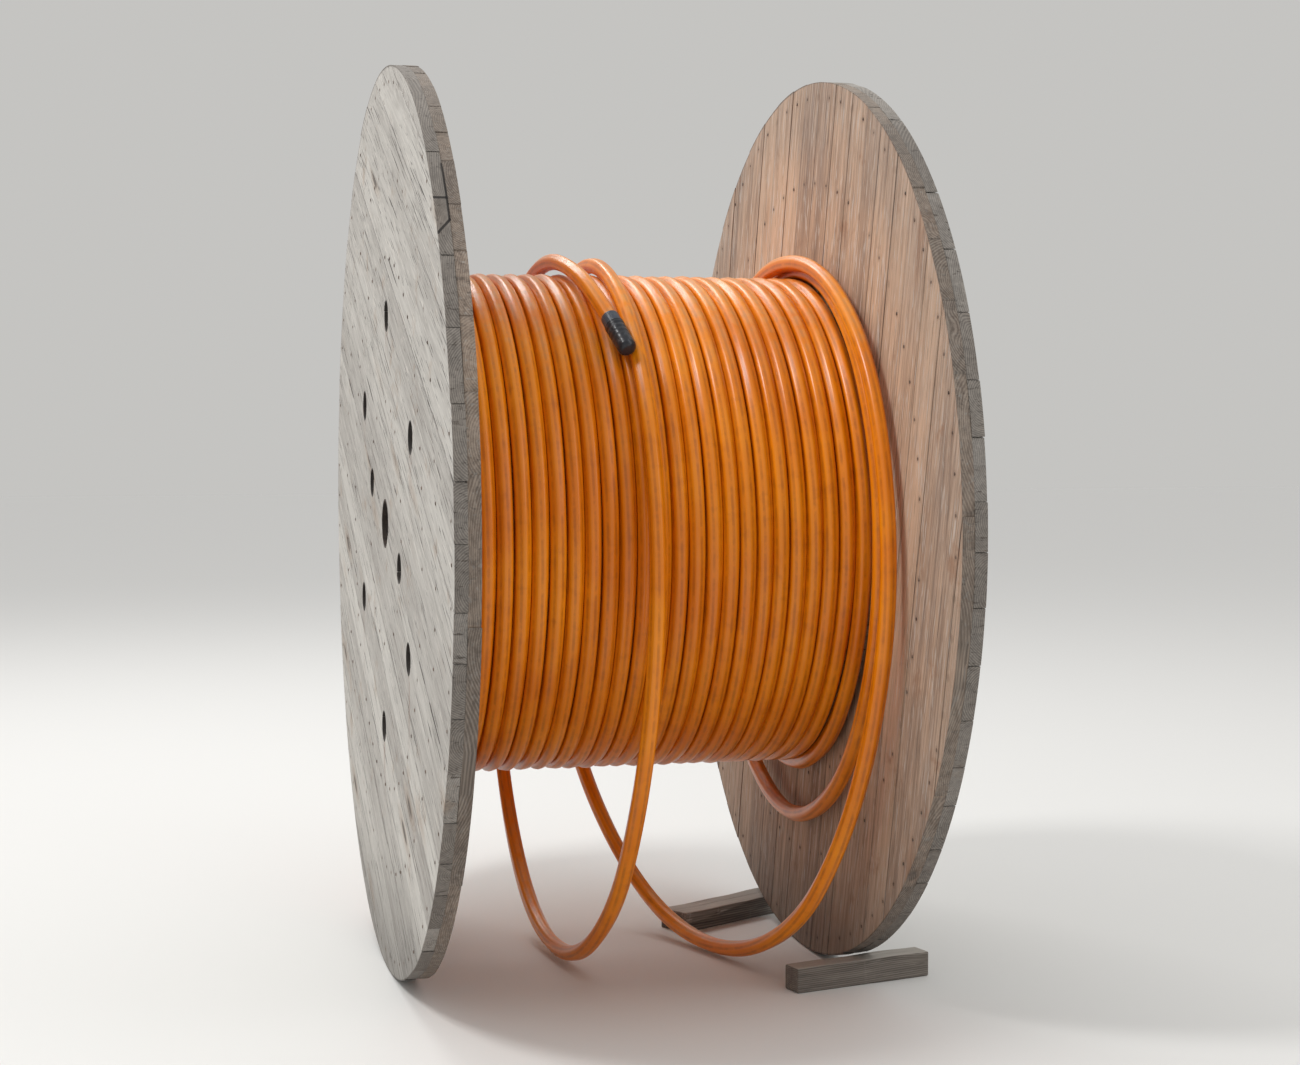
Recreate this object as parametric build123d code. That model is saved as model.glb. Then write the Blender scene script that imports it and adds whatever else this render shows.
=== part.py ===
from build123d import *
import math
import os

# A wooden cable drum that stands on its two flanges, wound with one layer of orange duct.
# Millimetres. The origin is the middle of the drum on its axis: +X runs along the axis to the
# right flange, +Z is up, and -Y is the side that the loose duct hangs down on.

# Flanges: two crossed layers of boards, nailed together and cut round
FLANGE_DIAMETER = 2500
OUTER_LAYER = 32              # thickness of a flange's outer boards
INNER_LAYER = 32              # thickness of its inner boards
INNER_WIDTH = 1150            # clear width between the flanges
BOARD_WIDTHS = (144, 132, 116, 144, 124)
BOARD_GAP = 2.5               # shrinkage gap between neighbouring boards
NARROWEST_BOARD = 45          # a narrower strip at the rim is left on its neighbour
LEFT_GRAIN = -25              # outer boards of the left flange, degrees above the -Y direction
RIGHT_GRAIN = -14             # outer boards of the right flange

# Core under the winding: staves on three rings
CORE_DIAMETER = 1300
STAVE_THICKNESS = 45
STAVE_COUNT = 24
STAVE_GAP = 3
CORE_RING_THICKNESS = 50
CORE_RING_DEPTH = 135         # how far a core ring reaches in from the staves
CORE_FIT = 0.3                # play between the rings and the staves

# Arbour: a steel bush in each flange, for the spindle that lifts the drum
SPINDLE_BORE = 125
BUSH_WALL = 6
BUSH_FIT = 0.2

# Tie rods through both flanges, with nuts sunk in pockets of the outer boards
ROD_COUNT = 6
ROD_START = 25                # the first rod, degrees above the -Y direction
ROD_DIAMETER = 20
ROD_INSET = 30                # from the inside of the staves to the middle of a rod
ROD_CLEARANCE = 1
THREAD_FIT = 0.2
POCKET_DIAMETER = 84
WASHER_DIAMETER = 60
WASHER_THICKNESS = 5
NUT_ACROSS_FLATS = 30
NUT_HEIGHT = 16
ROD_END = 4                   # how far a rod stands out of its nut

# Duct: one layer wound on the core, turn against turn
DUCT_DIAMETER = 45
TURN_GAP = 0.2                # between neighbouring turns
SLACK_TURN_ROOM = 105         # left free beside the right flange for the turn that has come loose
GROOVE_DEPTH = 9              # between two turns, as far as a cleaning brush reaches
WINDING_SIDE_GAP = 2          # between the first turn and the left flange
SEAT_GAP = 0.3                # between duct and what it lies on

# End cap on the duct's free end
CAP_DIAMETER = 53
CAP_LENGTH = 105
CAP_SOCKET = 80               # how much of the duct the cap covers
CAP_EDGE = 6
CAP_FIT = 0.2                 # play between the duct and the cap's wall

# Chock timbers on the ground at the right flange
FRONT_CHOCK = (425, 70, 70)   # length, depth, height
FRONT_CHOCK_TURN = 14         # degrees from the drum's axis
FRONT_CHOCK_START = 377       # its left end, along the axis
REAR_CHOCK = (620, 110, 60)
REAR_CHOCK_TURN = 30
REAR_CHOCK_START = 285

FLANGE_RADIUS = FLANGE_DIAMETER / 2
CORE_RADIUS = CORE_DIAMETER / 2
STAVE_INNER_RADIUS = CORE_RADIUS - STAVE_THICKNESS
HALF_WIDTH = INNER_WIDTH / 2
FLANGE_THICKNESS = OUTER_LAYER + INNER_LAYER
DUCT_RADIUS = DUCT_DIAMETER / 2
TURN_PITCH = DUCT_DIAMETER + TURN_GAP
TURNS = int((INNER_WIDTH - WINDING_SIDE_GAP - SLACK_TURN_ROOM) / TURN_PITCH)
LAYER_RADIUS = CORE_RADIUS + SEAT_GAP + DUCT_RADIUS
WINDING_RADIUS = LAYER_RADIUS + DUCT_RADIUS
BUSH_RADIUS = SPINDLE_BORE / 2 + BUSH_WALL
ROD_HOLE = ROD_DIAMETER + 2 * ROD_CLEARANCE
FLOOR = -FLANGE_RADIUS

# Route of the slack duct, from the last tight turn to the capped end, one row for each corner:
# - where it is along the axis: 0 in the middle, 1 where the duct would touch the right flange
# - its angle about the axis: 0 on the -Y side, 90 at the top, falling as the duct goes over the
#   top, down the -Y side, under the winding and up behind
# - what it lies on: 0 for the core, 1 for the winding, between them where it climbs
# - how far it hangs away from that: 0 lying on it, 1 down to the ground
SLACK_ROUTE = (
    # the last turn on the core, which sags a little under the winding
    (0.9249, 140, 0, 0), (0.9283, 125, 0, 0), (0.9351, 95, 0, 0), (0.9419, 65, 0, 0),
    (0.9487, 35, 0, 0.001), (0.9556, 5, 0, 0.004), (0.9626, -26, 0, 0.015), (0.9699, -58, 0, 0.035),
    (0.9772, -90, 0, 0.055), (0.9844, -122, 0, 0.035), (0.9912, -152, 0, 0.012),
    (0.998, -180, 0.05, 0.002),
    # up between that turn and the flange, and round once more in a short loop
    (0.9985, -204, 0.42, 0), (0.9975, -226, 0.62, 0), (0.9955, -248, 0.72, 0), (0.993, -270, 0.81, 0),
    (0.989, -297, 0.9, 0.005), (0.985, -325, 0.97, 0.035), (0.98, -355, 1, 0.09),
    (0.978, -386, 1, 0.17), (0.972, -418, 1, 0.24), (0.965, -450, 1, 0.285), (0.955, -482, 1, 0.178),
    (0.94, -512, 1, 0.06), (0.928, -540, 1, 0.024),
    # over the top of the winding and down beside the flange in a first deep loop
    (0.918, -568, 1, 0.003), (0.908, -598, 1, 0.001), (0.904, -626, 1, 0.016), (0.945, -654, 1, 0.082),
    (0.965, -682, 1, 0.15), (0.966, -706, 1, 0.215), (0.956, -730, 1, 0.315), (0.928, -752, 1, 0.44),
    (0.855, -770, 1, 0.67), (0.735, -786, 1, 0.925), (0.562, -804, 1, 1.024), (0.335, -822, 1, 0.93),
    (0.118, -844, 1, 0.639), (0.009, -868, 1, 0.411), (-0.045, -896, 1, 0.227),
    (-0.087, -926, 1, 0.082), (-0.105, -958, 1, 0.007),
    # over the top again, a second deep loop
    (-0.112, -990, 1, 0.001), (-0.1, -1020, 1, 0.002), (-0.084, -1050, 1, 0.002),
    (-0.082, -1079, 1, 0.063), (-0.105, -1106, 1, 0.256), (-0.133, -1128, 1, 0.497),
    (-0.167, -1146, 1, 0.791), (-0.254, -1163, 1, 1.012), (-0.333, -1181, 1, 0.935),
    (-0.361, -1205, 1, 0.631), (-0.348, -1232, 1, 0.371), (-0.341, -1260, 1, 0.207),
    (-0.339, -1290, 1, 0.079), (-0.337, -1320, 1, 0.02),
    # over the top a last time, down to the capped end
    (-0.322, -1348, 1, 0.013), (-0.277, -1371, 1, 0.02), (-0.217, -1387, 1, 0.032),
    (-0.16, -1400, 1, 0.066),
)


def polar(angle, distance):
    """The Y and Z of a point at that angle and distance from the drum's axis."""
    turned = math.radians(angle)
    return -distance * math.cos(turned), distance * math.sin(turned)


def slack_corners():
    """The corners of the slack duct's route in X, Y and Z.

    A corner between two runs that lie on something stands out from it by the cosine of half the
    step in angle, so that the middles of the runs touch.
    """
    corners = []
    for number, (share, angle, layer, hang) in enumerate(SLACK_ROUTE):
        half_step = 0
        if 0 < number < len(SLACK_ROUTE) - 1:
            step_before = SLACK_ROUTE[number - 1][1] - angle
            step_after = angle - SLACK_ROUTE[number + 1][1]
            half_step = max(step_before, step_after) / 2
        lying = LAYER_RADIUS + layer * TURN_PITCH
        lowest = FLANGE_RADIUS - DUCT_RADIUS
        distance = lying / math.cos(math.radians(half_step)) + hang * (lowest - lying)
        y, z = polar(angle, distance)
        corners.append(Vector(share * (HALF_WIDTH - DUCT_RADIUS), y, z))
    return corners


def rod_places():
    """Y and Z of each tie rod."""
    step = 360 / ROD_COUNT
    return [polar(ROD_START + step * n, STAVE_INNER_RADIUS - ROD_INSET) for n in range(ROD_COUNT)]


def board_edges():
    """Where the board joints lie across a flange, from its middle to its rim."""
    edges = [0]
    while edges[-1] < FLANGE_RADIUS - NARROWEST_BOARD:
        edges.append(edges[-1] + BOARD_WIDTHS[(len(edges) - 1) % len(BOARD_WIDTHS)])
    if FLANGE_RADIUS - edges[-2] < NARROWEST_BOARD + BOARD_WIDTHS[0] / 2 or edges[-1] > FLANGE_RADIUS:
        edges[-1] = FLANGE_RADIUS
    return edges


def flange_layer(start, thickness, grain, rod_hole):
    """One layer of a flange: boards side by side, cut round, with the bore and the rod holes."""
    disc = Circle(FLANGE_RADIUS) - Circle(BUSH_RADIUS + BUSH_FIT)
    for y, z in rod_places():
        disc -= Pos(y, z) * Circle(rod_hole / 2)
    edges = board_edges()
    boards = []
    for near, far in zip(edges, edges[1:]):
        width = far - near - BOARD_GAP
        for side in (-1, 1):
            middle = Pos(0, side * (near + far) / 2)
            strip = Rot(0, 0, -grain) * middle * Rectangle(2 * FLANGE_DIAMETER, width)
            boards += [Plane.YZ.offset(start) * extrude(face, thickness) for face in (disc & strip).faces()]
    return Compound(children=boards)


def core_staves():
    """Staves side by side round the core, between the two flanges."""
    ring = Circle(CORE_RADIUS) - Circle(STAVE_INNER_RADIUS)
    middle = CORE_RADIUS - STAVE_THICKNESS / 2
    for place in PolarLocations(middle, STAVE_COUNT):
        ring -= place * Rectangle(2 * STAVE_THICKNESS, STAVE_GAP)
    staves = [Plane.YZ.offset(-HALF_WIDTH) * extrude(face, INNER_WIDTH) for face in ring.faces()]
    return Compound(children=staves)


def core_ring(start):
    """A ring inside the staves, with a hole for each tie rod."""
    outer = STAVE_INNER_RADIUS - CORE_FIT
    ring = Circle(outer) - Circle(STAVE_INNER_RADIUS - CORE_RING_DEPTH)
    for y, z in rod_places():
        ring -= Pos(y, z) * Circle(ROD_HOLE / 2)
    return Plane.YZ.offset(start) * extrude(ring, CORE_RING_THICKNESS)


def arbour_bush(start):
    """A plain steel sleeve, flush with both sides of the flange."""
    sleeve = Circle(BUSH_RADIUS) - Circle(SPINDLE_BORE / 2)
    return Plane.YZ.offset(start) * extrude(sleeve, FLANGE_THICKNESS)


def winding():
    """The tight turns as one turned solid, its profile a ridge for each turn."""
    left = -HALF_WIDTH + WINDING_SIDE_GAP
    bore = CORE_RADIUS + SEAT_GAP
    valley = WINDING_RADIUS - GROOVE_DEPTH
    outline = [(left, bore), (left, valley)]
    for turn in range(TURNS):
        outline.append((left + (turn + 0.5) * TURN_PITCH, WINDING_RADIUS))
        outline.append((left + (turn + 1) * TURN_PITCH, valley))
    outline.append((left + TURNS * TURN_PITCH, bore))
    profile = make_face(Polyline(*outline, close=True))
    return revolve(Plane.XZ * profile, Axis.X)


def slack_duct():
    """The loose duct as one round tube, along straight runs that tangent arcs join."""
    corners = slack_corners()
    radii = []
    for before, here, after in zip(corners, corners[1:], corners[2:]):
        turn = math.radians((here - before).get_angle(after - here))
        run = min((here - before).length, (after - here).length)
        radii.append(0.45 * run / math.tan(turn / 2))
    print("slack duct bend radii:", [round(radius) for radius in radii])
    path = FilletPolyline(*corners, radius=radii)
    section = Plane(corners[0], z_dir=corners[1] - corners[0]) * Circle(DUCT_RADIUS)
    tube = sweep(section, path)
    expected = math.pi * DUCT_RADIUS ** 2 * path.length
    print(f"slack duct length {path.length:.0f}, volume over section x length {tube.volume / expected:.4f}")
    return tube


def end_cap():
    """A rubber cap pushed over the duct's end, with a rounded closed end."""
    before, tip = slack_corners()[-2:]
    outward = (tip - before).normalized()
    body = fillet(Cylinder(CAP_DIAMETER / 2, CAP_LENGTH).edges().sort_by(Axis.Z)[-1], CAP_EDGE)
    socket = Pos(0, 0, CAP_SOCKET / 2) * Cylinder(DUCT_RADIUS + CAP_FIT, CAP_SOCKET)
    shell = Pos(0, 0, CAP_LENGTH / 2) * body - socket
    return Plane(tip - outward * CAP_SOCKET, z_dir=outward) * shell


def chock(size, turn, start, side):
    """A timber on the ground whose upper edge touches the right flange's rim on one side."""
    length, depth, height = size
    touch = math.sqrt((FLANGE_RADIUS + SEAT_GAP) ** 2 - (FLANGE_RADIUS - height) ** 2)
    direction = Vector(math.cos(math.radians(turn)), math.sin(math.radians(turn)), 0)
    closes_in = direction.Y * side < 0
    nearest = HALF_WIDTH + FLANGE_THICKNESS if closes_in else HALF_WIDTH
    corner = Vector(nearest, side * touch, FLOOR)
    away = Vector(-direction.Y, direction.X, 0) * side
    end = corner - direction * ((nearest - start) / direction.X)
    centre = end + direction * (length / 2) + away * (depth / 2) + Vector(0, 0, height / 2)
    return Plane(centre, x_dir=direction, z_dir=(0, 0, 1)) * Box(length, depth, height)


def flange(side, grain):
    """Both board layers and the bush of one flange, by node name; side is -1 left, 1 right."""
    name = "left" if side < 0 else "right"
    inner_start = HALF_WIDTH if side > 0 else -HALF_WIDTH - INNER_LAYER
    outer_start = HALF_WIDTH + INNER_LAYER if side > 0 else -HALF_WIDTH - FLANGE_THICKNESS
    return {
        f"flange_{name}_outer_boards": flange_layer(outer_start, OUTER_LAYER, grain, POCKET_DIAMETER),
        f"flange_{name}_inner_boards": flange_layer(inner_start, INNER_LAYER, grain + 90, ROD_HOLE),
        f"arbour_bush_{name}": arbour_bush(min(inner_start, outer_start)),
    }


def tie_rods():
    """Each rod with its two washers and nuts, by node name."""
    pieces = {}
    washer_face = HALF_WIDTH + INNER_LAYER
    nut_face = washer_face + WASHER_THICKNESS
    half_length = nut_face + NUT_HEIGHT + ROD_END
    hole = Circle(ROD_DIAMETER / 2 + THREAD_FIT)
    washer = extrude(Circle(WASHER_DIAMETER / 2) - hole, WASHER_THICKNESS)
    nut = extrude(RegularPolygon(NUT_ACROSS_FLATS / 2, 6, major_radius=False) - hole, NUT_HEIGHT)
    rod = extrude(Circle(ROD_DIAMETER / 2), 2 * half_length)
    for number, (y, z) in enumerate(rod_places(), start=1):
        pieces[f"tie_rod_{number}"] = Plane((-half_length, y, z), x_dir=(0, 1, 0), z_dir=(1, 0, 0)) * rod
        for name, side in (("left", -1), ("right", 1)):
            seat = Plane((side * washer_face, y, z), x_dir=(0, 1, 0), z_dir=(side, 0, 0))
            pieces[f"washer_{name}_{number}"] = seat * washer
            pieces[f"nut_{name}_{number}"] = seat.offset(WASHER_THICKNESS) * nut
    return pieces


pieces = {}
pieces.update(flange(-1, LEFT_GRAIN))
pieces.update(flange(1, RIGHT_GRAIN))
pieces["core_staves"] = core_staves()
pieces["core_ring_left"] = core_ring(-HALF_WIDTH)
pieces["core_ring_middle"] = core_ring(-CORE_RING_THICKNESS / 2)
pieces["core_ring_right"] = core_ring(HALF_WIDTH - CORE_RING_THICKNESS)
pieces.update(tie_rods())
pieces["winding"] = winding()
pieces["slack_duct"] = slack_duct()
pieces["end_cap"] = end_cap()
pieces["chock_front"] = chock(FRONT_CHOCK, FRONT_CHOCK_TURN, FRONT_CHOCK_START, -1)
pieces["chock_rear"] = chock(REAR_CHOCK, REAR_CHOCK_TURN, REAR_CHOCK_START, 1)

os.makedirs("parts", exist_ok=True)
for name, shape in pieces.items():
    export_step(shape, f"parts/{name}.step")
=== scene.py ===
# %% [markdown]
# # A wooden cable drum with orange duct
#
# This lesson dresses a finished CAD model in Blender. The CAD gives every part its true size and
# place: boards, rods, bushes, the wound duct and the loops that have come loose. Blender adds
# what CAD leaves plain: weathered wood, ribbed plastic, rust, nails and threads. Everything is in
# metres and in the CAD model's own frame, with the origin in the middle of the drum, +X along its
# axis and +Z up, so a piece that is made here lies where its numbers say.

# %% Load the CAD model
import math

import bmesh
import bpy
import numpy as np
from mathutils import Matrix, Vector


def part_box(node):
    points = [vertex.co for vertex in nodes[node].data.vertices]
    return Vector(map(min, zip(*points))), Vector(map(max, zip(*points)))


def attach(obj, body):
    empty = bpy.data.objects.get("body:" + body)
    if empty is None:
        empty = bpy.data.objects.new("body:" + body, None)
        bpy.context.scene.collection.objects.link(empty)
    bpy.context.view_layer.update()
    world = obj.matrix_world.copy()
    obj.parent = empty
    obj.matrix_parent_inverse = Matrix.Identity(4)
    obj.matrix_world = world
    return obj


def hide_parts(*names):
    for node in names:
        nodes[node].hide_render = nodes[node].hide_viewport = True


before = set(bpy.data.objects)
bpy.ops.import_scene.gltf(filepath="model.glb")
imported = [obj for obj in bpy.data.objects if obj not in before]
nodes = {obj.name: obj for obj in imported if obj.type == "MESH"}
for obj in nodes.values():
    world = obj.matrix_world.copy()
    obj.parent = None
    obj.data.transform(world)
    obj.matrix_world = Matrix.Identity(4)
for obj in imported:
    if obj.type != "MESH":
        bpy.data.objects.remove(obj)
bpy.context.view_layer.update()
print("CAD nodes:", len(nodes))

# %% [markdown]
# The sizes that several pieces share come first. They repeat the CAD model's values, in metres.
# Angles about the drum's axis are 0 on the -Y side and 90 degrees at the top.

# %% Shared sizes
FLANGE_RADIUS = 1.25
HALF_WIDTH = 0.575
BOARD_LAYER = 0.032
LAYER_JOINT = HALF_WIDTH + BOARD_LAYER
OUTER_FACE = LAYER_JOINT + BOARD_LAYER
BOARD_EDGES = (0, 0.144, 0.276, 0.392, 0.536, 0.660, 0.804, 0.936, 1.052, 1.196, 1.25)
LEFT_SLOPE = 25
RIGHT_SLOPE = 14
CORE_RADIUS = 0.65
DUCT_RADIUS = 0.0225
TURN_PITCH = 0.0452
LAYER_RADIUS = CORE_RADIUS + 0.0003 + DUCT_RADIUS
ROD_RADIUS = 0.575
ROD_ANGLES = 25 + 60 * np.arange(6)
POCKET_RADIUS = 0.0425
PIN_HOLE_RADIUS = 0.040
chance = np.random.default_rng(7)


def about_axis(along, angle, distance):
    """Points from their place along the axis, angle in degrees and distance from the axis."""
    turned = np.radians(angle)
    parts = np.broadcast_arrays(along, -distance * np.cos(turned), distance * np.sin(turned))
    return np.stack(parts, axis=-1).astype(float)


print("drum:", 2 * FLANGE_RADIUS, "m high,", 2 * OUTER_FACE, "m wide")

# %% [markdown]
# The camera stands where the photograph was taken from: 6.4 m from the drum, at eye height, off
# to its left. Only the lens is longer, so that the drum fills the picture. A camera that keeps
# its place keeps every overlap of near and far parts as it is in the photograph.

# %% Camera
CAMERA_PLACE = np.array([-1.410, -6.213, 0.290])
CAMERA_TARGET = np.array([0.0941, -0.1035, -0.0286])


def set_up(data, place, target):
    """A camera or lamp at a place, turned to face a target."""
    thing = bpy.data.objects.new(data.name, data)
    away = np.array(place, float) - np.array(target, float)
    tilt = math.atan2(math.hypot(away[0], away[1]), away[2])
    thing.location = place
    thing.rotation_euler = (tilt, 0, math.atan2(away[0], -away[1]))
    bpy.context.scene.collection.objects.link(thing)
    return thing


camera_data = bpy.data.cameras.new("camera")
camera_data.lens = 62
camera_data.clip_end = 200
bpy.context.scene.camera = set_up(camera_data, CAMERA_PLACE, CAMERA_TARGET)
bpy.context.scene.view_settings.view_transform = "Standard"
print("camera at", CAMERA_PLACE)

# %% [markdown]
# A mesh is points and faces. Most pieces here are surfaces on a grid: one number runs along the
# piece and another runs round it, and a formula gives the point for each pair. The faces follow
# from the grid's size alone, with the last column joined to the first, which makes a tube.

# %% From a grid of points to a mesh


def new_piece(name, points, faces, smooth=True):
    """A mesh object at the origin from points and faces, with its place in its mesh."""
    mesh = bpy.data.meshes.new(name)
    mesh.from_pydata(points.tolist(), [], faces)
    mesh.polygons.foreach_set("use_smooth", np.full(len(mesh.polygons), smooth))
    piece = bpy.data.objects.new(name, mesh)
    bpy.context.scene.collection.objects.link(piece)
    return piece


def grid_faces(rows, columns):
    """Four-sided faces of a tube of rows by columns points.

    A face joins a point, the next one in its row, and those two in the row above.
    """
    row, column = np.meshgrid(np.arange(rows - 1), np.arange(columns), indexing="ij")
    here = row * columns
    after = (column + 1) % columns
    corners = (here + column, here + after, here + columns + after, here + columns + column)
    return np.stack(corners, axis=-1).reshape(-1, 4)


print("a tube of 3 rows of 8 points:", len(grid_faces(3, 8)), "faces")

# %% [markdown]
# Flat faces close a tube at both ends. A single tube carries a UV map, so that a material can
# follow it round and along. Rods and nails are many equal tubes, and one mesh for all of them is
# lighter than an object each: every copy's faces are the same, only counted from a later point.

# %% Closed tubes


def tube_piece(name, points, coordinates):
    """A closed tube from a grid of points, rows along it and columns round it.

    coordinates holds two numbers for each point, and becomes the piece's UV map. At the seam,
    where the last column meets the first, the first number runs on to 1, so that the pattern
    round the tube isn't squeezed back into one strip.
    """
    rows, columns, _ = points.shape
    faces = grid_faces(rows, columns)
    ends = [list(range(columns))[::-1], list(range((rows - 1) * columns, rows * columns))]
    piece = new_piece(name, points.reshape(-1, 3), faces.tolist() + ends)
    flat = coordinates.reshape(-1, 2)
    sides = flat[faces]
    on_seam = faces[:, 0] % columns == columns - 1
    sides[on_seam, 1:3, 0] = 1
    uv = np.concatenate([sides.reshape(-1, 2), flat[ends[0]], flat[ends[1]]])
    layer = piece.data.uv_layers.new(name="UVMap")
    layer.uv.foreach_set("vector", uv.astype(np.float32).reshape(-1))
    return piece


def tube_copies(name, points):
    """Many closed tubes in one mesh. points has one grid of points for each copy."""
    copies, rows, columns, _ = points.shape
    first = (np.arange(copies) * rows * columns)[:, None, None]
    sides = (grid_faces(rows, columns) + first).reshape(-1, 4)
    low = (np.arange(columns)[::-1] + first).reshape(-1, columns)
    high = (np.arange(columns) + (rows - 1) * columns + first).reshape(-1, columns)
    return new_piece(name, points.reshape(-1, 3), sides.tolist() + low.tolist() + high.tolist())


def circle(points):
    """The angles of equal steps round a circle, and the cosine and sine of each."""
    angle = np.linspace(0, 2 * np.pi, points, endpoint=False)
    return angle, np.stack([np.cos(angle), np.sin(angle)], axis=-1)


def carry_along(path, across, up, profile):
    """A profile carried along a path: point + across times the profile's x + up times its y."""
    return path[:, None] + across[:, None] * profile[..., :1] + up[:, None] * profile[..., 1:]


print("first points of a circle of 6:", circle(6)[1][:2].round(2).tolist())

# %% [markdown]
# ## The loose duct
#
# The last turns have come off the winding and hang in deep loops, and the free end lies over the
# top with a black cap on it. A hanging hose bends smoothly everywhere, so its line is a spline:
# the corners of the route pull the line towards them without kinks. Each row below gives a corner
# as the CAD model does: its share of the way from the middle to the right flange, its angle,
# whether it lies on the core (0), on the winding (1) or between them, and how far it hangs
# towards the ground.

# %% Route of the loose duct
SLACK_ROUTE = np.array([
    # the last turn on the core, which sags a little under the winding
    (0.9249, 140, 0, 0), (0.9283, 125, 0, 0), (0.9351, 95, 0, 0), (0.9419, 65, 0, 0),
    (0.9487, 35, 0, 0.001), (0.9556, 5, 0, 0.004), (0.9626, -26, 0, 0.015), (0.9699, -58, 0, 0.035),
    (0.9772, -90, 0, 0.055), (0.9844, -122, 0, 0.035), (0.9912, -152, 0, 0.012),
    (0.998, -180, 0.05, 0.002),
    # up between that turn and the flange, and round once more in a short loop
    (0.9985, -204, 0.42, 0), (0.9975, -226, 0.62, 0), (0.9955, -248, 0.72, 0), (0.993, -270, 0.81, 0),
    (0.989, -297, 0.9, 0.005), (0.985, -325, 0.97, 0.035), (0.98, -355, 1, 0.09),
    (0.978, -386, 1, 0.17), (0.972, -418, 1, 0.24), (0.965, -450, 1, 0.285), (0.955, -482, 1, 0.178),
    (0.94, -512, 1, 0.06), (0.928, -540, 1, 0.024),
    # over the top of the winding and down beside the flange in a first deep loop
    (0.918, -568, 1, 0.003), (0.908, -598, 1, 0.001), (0.904, -626, 1, 0.016), (0.945, -654, 1, 0.082),
    (0.965, -682, 1, 0.15), (0.966, -706, 1, 0.215), (0.956, -730, 1, 0.315), (0.928, -752, 1, 0.44),
    (0.855, -770, 1, 0.67), (0.735, -786, 1, 0.925), (0.562, -804, 1, 1.024), (0.335, -822, 1, 0.93),
    (0.118, -844, 1, 0.639), (0.009, -868, 1, 0.411), (-0.045, -896, 1, 0.227),
    (-0.087, -926, 1, 0.082), (-0.105, -958, 1, 0.007),
    # over the top again, a second deep loop
    (-0.112, -990, 1, 0.001), (-0.1, -1020, 1, 0.002), (-0.084, -1050, 1, 0.002),
    (-0.082, -1079, 1, 0.063), (-0.105, -1106, 1, 0.256), (-0.133, -1128, 1, 0.497),
    (-0.167, -1146, 1, 0.791), (-0.254, -1163, 1, 1.012), (-0.333, -1181, 1, 0.935),
    (-0.361, -1205, 1, 0.631), (-0.348, -1232, 1, 0.371), (-0.341, -1260, 1, 0.207),
    (-0.339, -1290, 1, 0.079), (-0.337, -1320, 1, 0.02),
    # over the top a last time, down to the capped end
    (-0.322, -1348, 1, 0.013), (-0.277, -1371, 1, 0.02), (-0.217, -1387, 1, 0.032),
    (-0.16, -1400, 1, 0.066),
])


def slack_corners():
    """The route's corners, from the rows of the table.

    A corner's distance from the axis is that of the lying duct, divided by the cosine of half the
    step in angle, plus the hang's share of the way from there down to the flange's edge.
    """
    share, angle, layer, hang = SLACK_ROUTE.T
    step = -np.diff(angle)
    half_step = np.zeros(len(angle))
    half_step[1:-1] = np.maximum(step[:-1], step[1:]) / 2
    lying = LAYER_RADIUS + layer * TURN_PITCH
    lowest = FLANGE_RADIUS - DUCT_RADIUS
    distance = lying / np.cos(np.radians(half_step)) + hang * (lowest - lying)
    return about_axis(share * (HALF_WIDTH - DUCT_RADIUS), angle, distance)


print("corners of the route:", len(slack_corners()))

# %% [markdown]
# Blender draws the smooth line itself: a NURBS spline with the corners as its control points. Its
# points are read back from the curve, so that the mesh of the duct follows exactly that line.

# %% From corners to a smooth line


def spline_points(corners, steps):
    """Points along the smooth line that a NURBS spline draws between those corners."""
    curve = bpy.data.curves.new("route", "CURVE")
    curve.dimensions = "3D"
    spline = curve.splines.new("NURBS")
    spline.points.add(len(corners) - 1)
    spline.points.foreach_set("co", np.c_[corners, np.ones(len(corners))].reshape(-1))
    spline.order_u = 3
    spline.use_endpoint_u = True
    spline.resolution_u = steps
    line = bpy.data.objects.new("route", curve)
    mesh = bpy.data.meshes.new_from_object(line)
    points = np.empty(len(mesh.vertices) * 3)
    mesh.vertices.foreach_get("co", points)
    bpy.data.objects.remove(line)
    bpy.data.meshes.remove(mesh)
    bpy.data.curves.remove(curve)
    return points.reshape(-1, 3)


def directions(path):
    """Unit directions along a path, from each point's two neighbours."""
    along = np.gradient(path, axis=0)
    return along / np.linalg.norm(along, axis=1, keepdims=True)


slack_line = spline_points(slack_corners(), 12)

# %% [markdown]
# A tube round that line could be the curve's own bevel. A mesh is made instead, because it carries
# a UV map of ours: round the duct from 0 to 1, and along it in metres. The ribs and scuffs of the
# plastic follow the duct with it. Across each point stands a ring. Its sideways direction is the
# drum's axis with the part along the duct taken out, which never twists.
#
# The duct is a bundle: six thin ducts round a seventh, under a sheath that is stretched over them.
# So the ring isn't a plain circle. Its radius dips a little between the six, and the dips turn
# slowly along the bundle, as the small ducts were laid in with a twist.

# %% The loose duct's tube
SMALL_DUCTS = 6
DIP = 0.0009
TWIST = 5  # radians in a metre
HOLLOW_END = 0.05
WALL = 0.0035


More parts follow.
